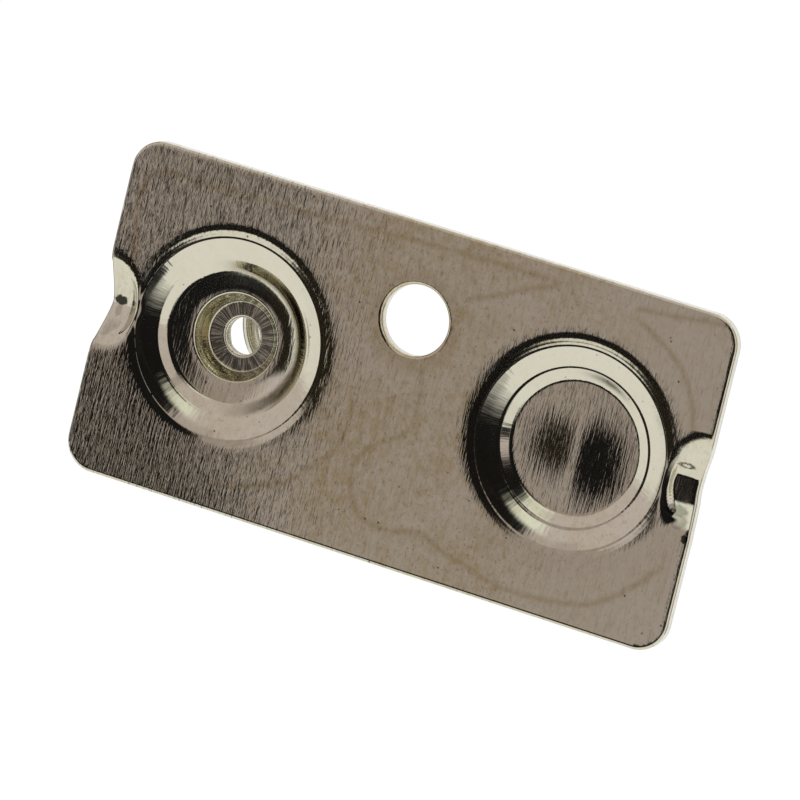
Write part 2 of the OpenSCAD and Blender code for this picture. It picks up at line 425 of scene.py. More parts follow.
def flat_field(rim, holes, spacing):
    """Triangles over the area inside the rim and outside the holes, which are (x, z, r, count)."""
    edges, points = [], []

    def close(loop):
        start = len(points)
        points.extend(map(tuple, loop))
        edges.extend((start + i, start + (i + 1) % len(loop)) for i in range(len(loop)))

    close(rim)
    for cx, cz, r, count in holes:
        close(circle(r, count, cx, cz))
    rows = int(2 * HALF_W / (spacing * ROW_SHARE))
    margin = 0.6 * spacing
    for j in range(rows + 1):
        z = -HALF_W + j * spacing * ROW_SHARE
        x = np.arange(-HALF_L + (j % 2) * spacing / 2, HALF_L, spacing)
        keep = inside_rim(x, z, margin)
        for cx, cz, r, count in holes:
            keep &= np.hypot(x - cx, z - cz) > r + margin
        points.extend((a, z) for a in x[keep])
    made = delaunay_2d_cdt([Vector(p) for p in points], edges, [], 0, 1e-7)
    places = np.array([tuple(p) for p in made[0]])
    faces = []
    for f in made[2]:
        mid = places[list(f)].mean(axis=0)
        in_hole = any(np.hypot(mid[0] - cx, mid[1] - cz) < r * 0.9999 for cx, cz, r, count in holes)
        at_end = abs(mid[0]) > HALF_L - 1 and abs(mid[1]) < GRIP_EDGE
        in_notch = max(f) < len(rim) and at_end
        if not in_hole and not in_notch:
            faces.append(tuple(f))
    return places, faces


def inside_rim(x, z, margin):
    """Whether places lie inside the outline by a margin."""
    pull = GRIP_DRAW * (1 - smooth(abs(z) / GRIP_EDGE))
    room_x = HALF_L - EDGE_ROLL - margin - pull - np.abs(x)
    room_z = HALF_W - EDGE_ROLL - margin - abs(z)
    corner = np.hypot(
        np.maximum(np.abs(x) - HALF_L + CORNER_R, 0), max(abs(z) - HALF_W + CORNER_R, 0))
    return (room_x > 0) & (room_z > 0) & (corner < CORNER_R - EDGE_ROLL - margin)


def ring_radii(inner, steps):
    """Radii for rings, from stretches that each end at a radius and have their own spacing."""
    radii = [inner]
    for end, spacing in steps:
        start = radii[-1]
        count = max(1, round((end - start) / spacing))
        radii.extend(start + (end - start) * k / count for k in range(1, count + 1))
    return radii


def on_sheet(places, depth, extra=0.0):
    """Points of the frame, in millimetres, at places on the sheet."""
    return np.stack([places[:, 0], depth(places[:, 0], places[:, 1]) + extra, places[:, 1]], axis=1)


def dish_patch(shell, cx, inner, steps, depth, count):
    """A dish between a radius and its edge, as rings."""
    radii = ring_radii(inner, steps)
    shell.strip([on_sheet(circle(r, count, cx), depth) for r in radii])


def turned(shell, cx, cz, section, count):
    """A strip of revolution from a section of (radius, depth) points."""
    loops = []
    for r, d in section:
        c = circle(r, count, cx, cz)
        loops.append(np.stack([c[:, 0], np.full(count, d), c[:, 1]], axis=1))
    shell.strip(loops)


def arc(cr, cd, r, start, end, steps):
    """Points on an arc of a section, between two directions in degrees from outwards."""
    turns = np.radians(np.linspace(start, end, steps + 1))
    return [(cr + r * math.cos(a), cd + r * math.sin(a)) for a in turns]


def make_plate():
    shell = Shell()
    holes = [
        (-HALF_PITCH, 0.0, DISH_EDGE_R, RING),
        (HALF_PITCH, 0.0, DISH_EDGE_R, RING),
        (0.0, HOLE_UP, HOLE_R + HOLE_ROLL, HOLE_RING),
    ]
    rim = outline(EDGE_ROLL)
    places, faces = flat_field(rim, holes, FRONT_SPACING)
    shell.add(on_sheet(places, front_depth), faces)
    hole_edge = PIERCE_R + PIERCE_ROLL
    dish_patch(shell, -HALF_PITCH, hole_edge, HUB_RINGS + WALL_RINGS, front_depth, RING)
    dish_patch(shell, HALF_PITCH, CAP_R, BUTTON_RINGS + WALL_RINGS, front_depth, RING)
    cap = circle(CAP_R, RING, HALF_PITCH)
    shell.add(on_sheet(cap, front_depth), [tuple(range(RING))])

    back_holes = [
        (-HALF_PITCH, 0.0, DISH_EDGE_R, BACK_RING),
        (HALF_PITCH, 0.0, DISH_EDGE_R, BACK_RING),
        (0.0, HOLE_UP, HOLE_R + EDGE_BREAK, HOLE_RING),
    ]
    back_rim = outline(EDGE_BREAK)
    places, faces = flat_field(back_rim, back_holes, BACK_SPACING)
    shell.add(on_sheet(places, back_depth), faces)

    # The edge: rolled over at the front, sheared behind, with a broken corner at the back
    loops = [on_sheet(rim, front_depth)]
    for k in range(1, ROLL_STEPS + 1):
        a = math.radians(90 * k / ROLL_STEPS)
        inset = EDGE_ROLL * (1 - math.sin(a))
        drop = EDGE_ROLL * (1 - math.cos(a))
        loops.append(on_sheet(outline(inset), front_depth, drop))
    loops.append(on_sheet(outline(0.0), front_depth, SHEET_T - EDGE_BREAK))
    loops.append(on_sheet(back_rim, back_depth))
    shell.strip(loops)

    # The locating hole
    wall = arc(HOLE_R + HOLE_ROLL, HOLE_ROLL, HOLE_ROLL, 270, 180, 7)
    wall += [(HOLE_R, SHEET_T - EDGE_BREAK), (HOLE_R + EDGE_BREAK, SHEET_T)]
    turned(shell, 0.0, HOLE_UP, wall, HOLE_RING)

    # The pierced hole, the clinched hub and the seat, and the cell side of the spring dish
    low = HUB_END - LIP_BREAK
    mouth = arc(hole_edge, HUB_FLOOR_DEPTH + PIERCE_ROLL, PIERCE_ROLL, 270, 180, 6)
    turned(shell, -HALF_PITCH, 0.0, mouth + [(PIERCE_R, low)], RING)
    hub = [(PIERCE_R, low), (PIERCE_R + LIP_BREAK, HUB_END), (LIP_R - LIP_BREAK, HUB_END)]
    hub += arc(LIP_R - LIP_BREAK, low, LIP_BREAK, 90, 0, 4)
    hub += arc(NECK_R + SEAT_R, HUB_END - LIP_T - SEAT_R, SEAT_R, *SEAT_ARC, 28)
    seat_edge = hub[-1][0]
    hub += [(r, None) for r in ring_radii(seat_edge, BOSS_RINGS)[1:]]
    loops = []
    for r, d in hub:
        c = circle(r, BACK_RING, -HALF_PITCH)
        y = back_depth(c[:, 0], c[:, 1]) if d is None else np.full(BACK_RING, d)
        loops.append(np.stack([c[:, 0], y, c[:, 1]], axis=1))
    shell.strip(loops)

    # The cell side of the button dish
    dish_patch(shell, HALF_PITCH, CAP_R, BUTTON_BACK_RINGS, back_depth, BACK_RING)
    cap = circle(CAP_R, BACK_RING, HALF_PITCH)
    shell.add(on_sheet(cap, back_depth), [tuple(range(BACK_RING))])
    return shell.build("stamped_plate")


def lifted(turns):
    """Turns that count towards the rise, which starts gently."""
    if 0 < turns < LIFT_TURNS:
        return turns ** 2 / (2 * LIFT_TURNS)
    return max(turns - LIFT_TURNS / 2, 0)


def eased(s):
    """A share from 0 to 1 with an even pace, and a gentle start and end."""
    c = min(max(s, 0), 1)
    pace = 1 / (1 - PITCH_EASE)
    if c < PITCH_EASE:
        return pace * c * c / (2 * PITCH_EASE)
    if c > 1 - PITCH_EASE:
        return 1 - pace * (1 - c) ** 2 / (2 * PITCH_EASE)
    return pace * (c - PITCH_EASE / 2)


def wire_at(turn):
    """Middle of the spring's wire, a number of turns from its start."""
    base_r = NECK_R + SEAT_R
    base_depth = HUB_END - LIP_T - SEAT_R
    tip_depth = SPRING_HEIGHT - WIRE_R
    narrow_from = BASE_TURNS + NARROW_AFTER
    r = base_r + (WIDE_COIL_R - base_r) * smooth((turn - BASE_TURNS) / WIDEN_TURNS)
    r += (TIP_COIL_R - WIDE_COIL_R) * smooth(
        (turn - narrow_from) / (BASE_TURNS + ACTIVE_TURNS - narrow_from))
    free = tip_depth - base_depth - CLOSED_PITCH * lifted(ACTIVE_TURNS + TIP_TURNS)
    depth = base_depth + CLOSED_PITCH * lifted(turn - BASE_TURNS)
    depth += free * eased((turn - BASE_TURNS) / ACTIVE_TURNS)
    a = math.radians(WIRE_START - 360 * turn)
    return np.array([-HALF_PITCH + r * math.cos(a), depth, r * math.sin(a)])


def make_spring():
    turns = BASE_TURNS + ACTIVE_TURNS + TIP_TURNS
    count = math.ceil(turns * WIRE_RINGS_PER_TURN)
    loops = []

    def ring(turn, r, push=0.0):
        along = unit(wire_at(turn + 0.001) - wire_at(turn - 0.001))
        here = wire_at(turn)
        out = np.array([here[0] + HALF_PITCH, 0, here[2]])
        out = unit(out - (out @ along) * along)
        side = np.cross(along, out)
        b = np.linspace(0, 2 * math.pi, WIRE_SIDES, endpoint=False)
        return here + push * along + r * (np.cos(b)[:, None] * out + np.sin(b)[:, None] * side)

    loops.append(ring(0, WIRE_R - WIRE_BREAK))
    loops.append(ring(0, WIRE_R, WIRE_BREAK))
    loops += [ring(turns * k / count, WIRE_R) for k in range(1, count)]
    loops.append(ring(turns, WIRE_R, -WIRE_BREAK))
    loops.append(ring(turns, WIRE_R - WIRE_BREAK))
    shell = Shell()
    shell.strip(loops)
    for end in (loops[0], loops[-1]):
        shell.add(end, [tuple(range(WIRE_SIDES))])
    return shell.build("coil_spring_wire")


# Materials

def fresh_material(name):
    material = bpy.data.materials.new(name)
    material.use_nodes = True
    tree = material.node_tree
    tree.nodes.clear()
    return material, tree


def add_node(tree, kind, settings=None, **inputs):
    """A node with its settings and inputs. An input that is a socket is linked."""
    node = tree.nodes.new(kind)
    for key, value in (settings or {}).items():
        setattr(node, key, value)
    for key, value in inputs.items():
        socket = node.inputs[int(key[1:]) if key[1:].isdigit() else key.replace("_", " ")]
        if isinstance(value, bpy.types.NodeSocket):
            tree.links.new(value, socket)
        else:
            socket.default_value = value
    return node


def finish_material(tree, shader, output="ShaderNodeOutputMaterial"):
    out = add_node(tree, output)
    tree.links.new(shader.outputs[0], out.inputs[0])


def maths(tree, operation, a, b):
    return add_node(tree, "ShaderNodeMath", {"operation": operation}, i0=a, i1=b).outputs[0]


def times(tree, *values):
    """The product of several values."""
    product = values[0]
    for value in values[1:]:
        product = maths(tree, "MULTIPLY", product, value)
    return product


def ramp(tree, value, low, high, out_low=0.0, out_high=1.0):
    """A value eased between two levels."""
    node = add_node(tree, "ShaderNodeMapRange", {"interpolation_type": "SMOOTHSTEP"},
                    i0=value, i1=low, i2=high, i3=out_low, i4=out_high)
    return node.outputs[0]


def stretched_noise(tree, place, noise, unit=MM):
    """Noise with its own scale on each axis, in cycles per unit, and its detail and roughness."""
    scale, detail, roughness = noise
    moved = add_node(tree, "ShaderNodeVectorMath", {"operation": "MULTIPLY"},
                     i0=place, i1=tuple(s / unit for s in scale))
    return add_node(tree, "ShaderNodeTexNoise", None, Vector=moved.outputs[0], Scale=1.0,
                    Detail=detail, Roughness=roughness).outputs[0]


def mixed(tree, share, a, b):
    node = add_node(tree, "ShaderNodeMix", {"data_type": "RGBA"}, i0=share)
    for index, value in ((6, a), (7, b)):
        if isinstance(value, bpy.types.NodeSocket):
            tree.links.new(value, node.inputs[index])
        else:
            node.inputs[index].default_value = (*value, 1)
    return node.outputs[2]


NICKEL = (0.64, 0.615, 0.50)
FILM = (0.50, 0.43, 0.26)
TARNISH = (0.40, 0.32, 0.17)
GILT = (0.58, 0.53, 0.32)
# Colour of the dirt, scores, pits and darker places, and of the painted shade round the dent
GRIME_AND_SHADE = (0.022, 0.019, 0.015)
# Painted shade: the colour of the dark crescent and wedge in the dishes
SHADE_UMBER = (0.06, 0.052, 0.028)

# Noise over the sheet, as (cycles per millimetre along x, y and z, detail, roughness)
GRAIN_NOISE = ((12.0, 2.0, 1.2), 2.0, 0.6)
FINE_NOISE = ((5.0, 3.0, 3.5), 3.0, 0.6)
GRIT_NOISE = ((9.0, 9.0, 9.0), 4.0, 0.7)
SPECKLE_NOISE = ((7.0, 7.0, 5.0), 4.0, 0.7)
CLOUD_NOISE = ((0.35, 0.35, 0.35), 4.0, 0.6)
MOTTLE_NOISE = ((3.0, 3.0, 2.2), 4.0, 0.75)
WIRE_NOISE = ((9.0, 9.0, 9.0), 3.0, 0.6)
# Noise along the drawn lines, over the direction from a dish's middle and the radius in millimetres
RAY_NOISE = ((20.0, 20.0, 1.2), 1.5, 0.5)
# How deep the marks are, and the share of it that the fine grain and the grit have
MARK_DEPTH = 0.013
FINE_SHARE = 0.25
GRIT_SHARE = 0.03
WIRE_MARK_DEPTH = 0.004
# Pits, to the millimetre, their edge, how many of them are seen, and how dark they are
PITS = 1.7
PIT_EDGE = (0.10, 0.05)
PIT_CHANCE = (0.45, 0.9)
PIT_DARK = 0.8
# How the noise breaks up each layer, as (low level, high level, share at low, share at high)
FILM_CLOUDED = (0.30, 0.65, 0.35, 1.0)
FILM_MOTTLED = (0.30, 0.70, 0.3, 1.5)
SCORED = (0.50, 0.72, 0.0, 0.45)
STAINED = (0.3, 0.65, 0.55, 1.0)
GILDED = (0.35, 0.6, 0.45, 1.0)
DARK_RAYED = (0.42, 0.62, 1.0, 0.35)
# How the painted shade of the crescent and the wedge is broken up
SHADE_MOTTLED = (0.3, 0.7, 0.85, 1.0)
SPECKLED = (0.53, 0.68, 0.0, 0.60)
SHEET_GLOSS = 0.085
DARK_GLOSS = 0.25
WIRE_GLOSS = 0.16

# Dirt on the outer face, as its middle (x, z), its half size and how dark it is, with edges torn
# by a noise of so many cycles to the millimetre; and the painted shade round a dent, in the right
# groove
RAGGED = 0.22
RAGGED_NOISE = 7.0
BLOTS = [
    ((-12.37, 0.24), (0.34, 0.22), 0.97),
    ((-12.37, -0.17), (0.16, 0.30), 0.30),
    ((13.06, -1.90), (0.15, 0.22), 0.95),
    ((12.40, -0.95), (0.55, 0.24), 0.45),
    ((12.62, -1.35), (0.40, 0.30), 0.30),
]
DENT_SHADE = ((12.33, 0.82), (0.40, 0.13))
DENT_SHADE_SOFT = 0.35
DENT_SHADE_RING = (0.25, 0.6)
DENT_SHADE_DARK = 0.85


def attribute(tree, name, output="Fac"):
    return add_node(tree, "ShaderNodeAttribute", {"attribute_name": name}).outputs[output]


def spot(tree, parts, centre, size, soft=0.3):
    """How far each place lies in a soft-edged ellipse, and its radius there, with 1 at the edge."""
    axes = []
    for part, middle, half in zip((parts[0], parts[2]), centre, size):
        axes.append(times(tree, maths(tree, "SUBTRACT", part, middle * MM), 1 / (half * MM)))
    joined = add_node(tree, "ShaderNodeCombineXYZ", None, i0=axes[0], i1=axes[1])
    radius = add_node(tree, "ShaderNodeVectorMath", {"operation": "LENGTH"}, i0=joined.outputs[0])
    radius = radius.outputs["Value"]
    return ramp(tree, radius, 1.0, 1.0 - soft), radius


def marked_normal(tree, place, broad, ray):
    """The sheet's normal: grain along its height, drawn lines round the dishes, grit, and its lean."""
    fine = stretched_noise(tree, place, FINE_NOISE)
    grit = stretched_noise(tree, place, GRIT_NOISE)
    grain = maths(tree, "ADD", broad, times(tree, fine, FINE_SHARE))
    height = times(tree, grain, attribute(tree, "streak"))
    height = maths(tree, "ADD", height, times(tree, ray, attribute(tree, "drawn")))
    height = maths(tree, "ADD", height, times(tree, grit, GRIT_SHARE))
    bump = add_node(tree, "ShaderNodeBump", None, Strength=1.0, Distance=MARK_DEPTH * MM, Height=height)
    leant = add_node(tree, "ShaderNodeVectorMath", {"operation": "ADD"},
                     i0=bump.outputs[0], i1=attribute(tree, "lean", "Vector"))
    return add_node(tree, "ShaderNodeVectorMath", {"operation": "NORMALIZE"}, i0=leant.outputs[0])


def pitted(tree, place):
    """Small dark pits, and specks where the film is."""
    pits = add_node(tree, "ShaderNodeTexVoronoi", {"feature": "F1"}, Vector=place, Scale=PITS / MM,
                    Randomness=1.0)
    chosen = add_node(tree, "ShaderNodeSeparateXYZ", None, Vector=pits.outputs["Color"])
    pit = times(tree, ramp(tree, pits.outputs["Distance"], *PIT_EDGE),
                ramp(tree, chosen.outputs[0], *PIT_CHANCE))
    speckle = ramp(tree, stretched_noise(tree, place, SPECKLE_NOISE), *SPECKLED)
    return maths(tree, "MAXIMUM", pit, times(tree, speckle, attribute(tree, "film")))


def dirt_and_dent_shade(tree, place, colour):
    """A colour with the dirt in the grooves and the painted shade round a dent laid over it."""
    noise = add_node(tree, "ShaderNodeTexNoise", None, Vector=place, Scale=RAGGED_NOISE / MM,
                     Detail=3.0, Roughness=0.6).outputs["Color"]
    ragged = add_node(tree, "ShaderNodeVectorMath", {"operation": "MULTIPLY_ADD"},
                      i0=noise, i1=(RAGGED * MM,) * 3, i2=place)
    torn = add_node(tree, "ShaderNodeSeparateXYZ", None, Vector=ragged.outputs[0]).outputs
    outer = attribute(tree, "outer")
    for centre, size, share in BLOTS:
        blot, radius = spot(tree, torn, centre, size)
        colour = mixed(tree, times(tree, blot, outer, share), colour, GRIME_AND_SHADE)
    # Painted shade: a dark ring round a dent, clear in its middle
    blot, radius = spot(tree, torn, *DENT_SHADE, DENT_SHADE_SOFT)
    ring = times(tree, blot, outer, ramp(tree, radius, *DENT_SHADE_RING), DENT_SHADE_DARK)
    return mixed(tree, ring, colour, GRIME_AND_SHADE)


def plated_sheet():
    """Nickel plate over rolled sheet, with film, tide lines, a gold ring, dirt and darker places, and
    with shade painted in the dishes and round a dent.
    """
    material, tree = fresh_material("plated_sheet")
    place = add_node(tree, "ShaderNodeTexCoord").outputs["Object"]
    broad = stretched_noise(tree, place, GRAIN_NOISE)
    ray = stretched_noise(tree, attribute(tree, "around", "Vector"), RAY_NOISE, 1.0)
    cloud = stretched_noise(tree, place, CLOUD_NOISE)
    mottle = stretched_noise(tree, place, MOTTLE_NOISE)
    normal = marked_normal(tree, place, broad, ray)

    film = times(tree, attribute(tree, "film"), ramp(tree, cloud, *FILM_CLOUDED),
                 ramp(tree, mottle, *FILM_MOTTLED))
    scored = times(tree, attribute(tree, "streak"), ramp(tree, broad, *SCORED))
    stain = times(tree, attribute(tree, "stain"), ramp(tree, mottle, *STAINED))
    gilt = times(tree, attribute(tree, "gilt"), ramp(tree, ray, *GILDED))
    darkened = times(tree, attribute(tree, "darkened"), ramp(tree, ray, *DARK_RAYED))
    # Painted shade: darker colour in the crescent and the wedge
    painted_shade = times(tree, attribute(tree, "painted_shade"), ramp(tree, mottle, *SHADE_MOTTLED))
    pit = times(tree, pitted(tree, place), PIT_DARK)
    colour = mixed(tree, film, NICKEL, FILM)
    for share, layer in ((scored, GRIME_AND_SHADE), (stain, TARNISH), (gilt, GILT), (darkened, GRIME_AND_SHADE),
                         (painted_shade, SHADE_UMBER), (pit, GRIME_AND_SHADE)):
        colour = mixed(tree, share, colour, layer)
    colour = dirt_and_dent_shade(tree, place, colour)

    gloss = maths(tree, "ADD", SHEET_GLOSS, times(tree, darkened, DARK_GLOSS))
    shader = add_node(tree, "ShaderNodeBsdfPrincipled", None, Base_Color=colour, Metallic=1.0,
                      Roughness=gloss, Normal=normal.outputs[0])
    finish_material(tree, shader)
    return material


def plated_wire():
    material, tree = fresh_material("plated_wire")
    place = add_node(tree, "ShaderNodeTexCoord").outputs["Object"]
    grit = stretched_noise(tree, place, WIRE_NOISE)
    bump = add_node(tree, "ShaderNodeBump", None, Strength=1.0, Distance=WIRE_MARK_DEPTH * MM,
                    Height=grit)
    shader = add_node(tree, "ShaderNodeBsdfPrincipled", None, Base_Color=(*NICKEL, 1), Metallic=1.0,
                      Roughness=WIRE_GLOSS, Normal=bump.outputs[0])
    finish_material(tree, shader)
    return material


def set_attribute(obj, name, values):
    values = np.asarray(values, np.float32)
    kind, key = ("FLOAT", "value") if values.ndim == 1 else ("FLOAT_VECTOR", "vector")
    obj.data.attributes.new(name, kind, "POINT").data.foreach_set(key, values.ravel())


def vertex_places(obj):
    places = np.zeros(len(obj.data.vertices) * 3, np.float32)
    obj.data.vertices.foreach_get("co", places)
    return places.reshape(-1, 3) / MM


# Tide lines that drying plating liquor left on the outer face, as places (x, z) that each passes
TIDE_LINES = [
    [(-12.1, 1.5), (-12.5, 4.4), (-11.9, 5.6), (-9.8, 5.7), (-5.7, 5.8), (-1.4, 6.0), (2.6, 6.15),
     (5.4, 6.1), (4.4, 5.6), (3.2, 5.0), (1.9, 4.4)],
    [(8.9, 6.1), (10.2, 6.2), (11.5, 6.4), (12.6, 6.5)],
    [(9.1, 5.6), (10.1, 5.1), (11.2, 4.3), (11.9, 3.2), (12.2, 2.2)],
    [(-6.8, -5.8), (-5.3, -5.4), (-3.7, -4.7), (-2.8, -3.9), (-2.0, -3.0), (-1.7, -1.9),
     (-1.7, -0.8)],
    [(0.8, 1.2), (0.95, 0.0), (0.8, -1.3), (-0.4, -2.2), (-1.0, -3.1), (-1.0, -4.1), (-0.3, -5.1),
     (0.9, -5.3), (2.3, -5.0), (3.3, -5.4), (4.9, -5.8), (6.3, -6.1), (8.7, -5.9), (10.2, -5.4),
     (11.5, -4.3), (12.4, -3.3)],
]
TIDE_WIDTH = 0.12
TIDE_STEPS = 12


def tide_mark(x, z):
    """How strongly the tide lines mark each place."""
    nearest = np.full(len(x), 9.0)
    for line in TIDE_LINES:
        way = np.array([line[0], *line, line[-1]])
        share = np.linspace(0, 1, TIDE_STEPS, endpoint=False)[:, None]
        curve = []
        for before, here, after, later in zip(way, way[1:], way[2:], way[3:]):
            turn = 2 * before - 5 * here + 4 * after - later
            twist = 3 * here - before - 3 * after + later
            pull = (after - before) * share + turn * share ** 2 + twist * share ** 3
            curve.append(0.5 * (2 * here + pull))
        curve = np.vstack(curve)
        for a, b in zip(curve, curve[1:]):
            along = b - a
            t = np.clip(((x - a[0]) * along[0] + (z - a[1]) * along[1]) / (along @ along), 0, 1)
            away = np.hypot(x - a[0] - t * along[0], z - a[1] - t * along[1])
            nearest = np.minimum(nearest, away)
    return near(nearest, 0, TIDE_WIDTH)


# Edges of what is marked, as (where it starts, its width), over the radius from a dish's middle
WALL_START, WALL_END = (2.62, 0.12), (4.0, 0.3)
HUB_EDGE = (1.55, 0.10)
FLOOR_EDGE = (2.6, 0.1)
FLAT_EDGE = (4.1, 0.25)
GROOVE_EDGE = (1.5, 0.3)
RING_INNER, RING_OUTER = (0.80, 0.1), (1.36, 0.06)
FLAT_FROM_R = 4.0
# Edges of the left half and of the lower left corner, over the way leftwards, to which the corner
# adds a share of the way down; and of what lies above a dish's middle, over height by radius
LEFT_EDGE = (-0.5, 8.5)
CORNER_EDGE, CORNER_TILT = (7.0, 8.0), 0.8
ABOVE_EDGE = (-0.85, 0.6)
# How strong the grain is: on the flat, what the left half and the lower left corner add, in the
# fringe round a dish (and below the dish), and pressed into the floors of the two dishes
FLAT_GRAIN, LEFT_GRAIN, CORNER_GRAIN = 0.33, 1.05, 0.5
FRINGE_AT = (4.55, 0.35)
FRINGE_BELOW = 0.25
GROOVE_CLEARED = 0.85
BUTTON_GRAIN, SPRING_GRAIN = 0.78, 0.45
WALL_DRAWN, HUB_DRAWN = 0.40, 0.95
# How the face leans, as a part added to its normal: on the left half and in the lower left corner,
# just outside a dish (button, spring, and the share of it up the sheet), and in the left groove
LEFT_LEAN, CORNER_LEAN = 0.03, 0.15
FOOT_AT = (4.50, 0.15)
FOOT_LEAN = (0.040, 0.055)
FOOT_UP = 0.8
GROOVE_LEAN, GROOVE_LEAN_HALF = 0.25, 0.5
# The two hollows in the button's floor, as (lean, half width, height of the middle, half height)
HOLLOW_MIDDLE, HOLLOW_STEP, HOLLOW_R = 0.03, 0.30, 2.7
HOLLOW_FALL_ACROSS, HOLLOW_FALL_UP = 4, 2.4
LEFT_HOLLOW = (0.158, 2.05, -0.15, 1.30)
RIGHT_HOLLOW = (0.20, 2.1, -0.35, 1.60)
# Strengths of the stains, of the darker hub floor and left end, and of the painted shade
TIDE, HALO, GOLD, HUB_DARK, END_DARK = 0.62, 0.45, 0.75, 0.80, 0.6
CRESCENT, WEDGE = 0.85, 0.90
# The halo, out from the locating hole's edge, and the gold ring, as (radius, half width); where the
# tide lines may lie; and the darker left end, as its edge past that end and how deep it goes
HALO_AT, GOLD_AT = (0.25, 0.35), (1.60, 0.20)
TIDE_FROM_R = 4.3
END_EDGE, END_DEPTH = (-0.16, 0.08), 0.3
# The crescent of painted dark reflection in the spring dish and the wedge of painted shadow on the
# button's step, as (radius, half width), and the direction of their middles, in degrees from outwards
CRESCENT_AT, CRESCENT_TURN, CRESCENT_EDGE = (2.84, 0.25), 14, (110, -60)
WEDGE_AT, WEDGE_TURN = (2.95, 0.14), (74, 16)
# The film: on the flat and more in its middle part, whose edges are over x from the left and over
# the way leftwards from the right; in the dishes and more low down; and on the button's floor
FILM_FROM_R = 4.05
FLAT_FILM, MIDDLE_FILM = 0.32, 0.45
MIDDLE_LEFT, MIDDLE_RIGHT = (-6.0, 4.0), (-10.5, 5.0)
DISH_FILM, LOW_FILM, LOW_EDGE = 0.12, 0.30, (-1.0, 4.0)
BUTTON_FILM, BUTTON_FILM_R = 0.3, 2.6


def mark_grain(plate, x, z, left, r):
    """Where the sheet is grained and drawn. Gives how far a place is left, in the corner, above a
    dish's middle and in a groove."""
    wall = (1 - past(r, WALL_END)) * past(r, WALL_START)
    hub = 1 - past(left, HUB_EDGE)
    set_attribute(plate, "drawn", np.maximum(wall * WALL_DRAWN, hub * HUB_DRAWN))
    corner = past(-x - CORNER_TILT * z, CORNER_EDGE)
    leftwards = past(-x, LEFT_EDGE)
    grained = FLAT_GRAIN + LEFT_GRAIN * leftwards + CORNER_GRAIN * corner
    above = past(z / np.maximum(r, LEAST_R), ABOVE_EDGE)
    fringe = (FRINGE_BELOW + (1 - FRINGE_BELOW) * above) * near(r, *FRINGE_AT)
    groove = 1 - past(grip_reach(x, z), GROOVE_EDGE)
    flat = np.maximum(grained, fringe) * past(r, FLAT_EDGE) * (1 - GROOVE_CLEARED * groove)
    floor = 1 - past(r, FLOOR_EDGE)
    pressed = np.where(x > 0, BUTTON_GRAIN, SPRING_GRAIN) * floor * (1 - hub)
    set_attribute(plate, "streak", np.maximum(flat * (1 - wall), pressed))
    return leftwards, corner, above, groove


def mark_lean(plate, x, z, right, r, cx, zones):
    """How the face leans where it is hollow or drawn down by too little to model."""
    leftwards, corner, above, groove = zones
    across = x - HALF_PITCH - HOLLOW_MIDDLE
    amount, half, middle, reach = (
        np.where(across > 0, b, a) for a, b in zip(LEFT_HOLLOW, RIGHT_HOLLOW))
    hollow = amount * (np.tanh(across / HOLLOW_STEP) * near(across, 0, half, HOLLOW_FALL_ACROSS))
    lean = np.zeros((len(x), 3))
    lean[:, 0] = hollow * near(z, middle, reach, HOLLOW_FALL_UP) * (right < HOLLOW_R)
    on_flat = (r > FLAT_FROM_R) * (1 - groove)
    lean[:, 0] += (LEFT_LEAN * leftwards + CORNER_LEAN * corner) * on_flat
    foot = np.where(x > 0, *FOOT_LEAN) * above * near(r, *FOOT_AT) * (1 - groove)
    lean[:, 0] += foot * (cx - x) / r
    lean[:, 2] -= FOOT_UP * foot * z / r
    lean[:, 0] -= GROOVE_LEAN * groove * (x < 0) * near(z, 0, GROOVE_LEAN_HALF)
    set_attribute(plate, "lean", lean)


def mark_stains(plate, x, y, z, left, right, r, cx):
    """Where the outer face is filmed and stained, where it is darker, and where shade is painted on it.
    """
    outer = y < front_depth(x, z) + SHEET_T / 2
    set_attribute(plate, "outer", 1.0 * outer)
    hole = np.hypot(x, z - HOLE_UP)
    halo = HALO * near(hole - HOLE_R, *HALO_AT)
    tide = TIDE * tide_mark(x, z) * (r > TIDE_FROM_R)
    set_attribute(plate, "stain", np.maximum(tide, halo) * outer)
    set_attribute(plate, "gilt", GOLD * near(left, *GOLD_AT, 4))
    # Darker on the hub's floor round the pierced hole and along the left end
    ring = (1 - past(left, RING_OUTER)) * past(left, RING_INNER)
    end = past(-x - HALF_L, END_EDGE) * (y < END_DEPTH)
    set_attribute(plate, "darkened", np.maximum(HUB_DARK * ring, END_DARK * end))
    # The crescent is a painted dark reflection and the wedge a painted shadow
    bearing = np.degrees(np.arctan2(z, x - cx))
    crescent = near(left, *CRESCENT_AT, 4) * past(np.abs(bearing - CRESCENT_TURN), CRESCENT_EDGE)
    wedge = near(right, *WEDGE_AT) * near(bearing, *WEDGE_TURN)
    set_attribute(plate, "painted_shade", np.maximum(CRESCENT * crescent, WEDGE * wedge) * outer)
    flat_film = FLAT_FILM + MIDDLE_FILM * past(x, MIDDLE_LEFT) * past(-x, MIDDLE_RIGHT)
    dish_film = DISH_FILM + LOW_FILM * past(-z, LOW_EDGE)
    film = np.where(r > FILM_FROM_R, flat_film, dish_film)
    film = np.where(right < BUTTON_FILM_R, BUTTON_FILM, film)
    # The film also carries the crescent's painted dark reflection
    set_attribute(plate, "film", np.maximum(film, crescent) * outer)


def mark_plate(plate):
    """The marks that the sheet's material reads at each vertex."""
    x, y, z = vertex_places(plate).T
    left = np.hypot(x + HALF_PITCH, z)
    right = np.hypot(x - HALF_PITCH, z)
    r = np.minimum(left, right)
    cx = np.where(x < 0, -HALF_PITCH, HALF_PITCH)
    far = np.maximum(r, LEAST_R)
    set_attribute(plate, "around", np.stack([(x - cx) / far, z / far, r], axis=1))
    zones = mark_grain(plate, x, z, left, r)
    mark_lean(plate, x, z, right, r, cx, zones)
    mark_stains(plate, x, y, z, left, right, r, cx)


# Light, floor and camera

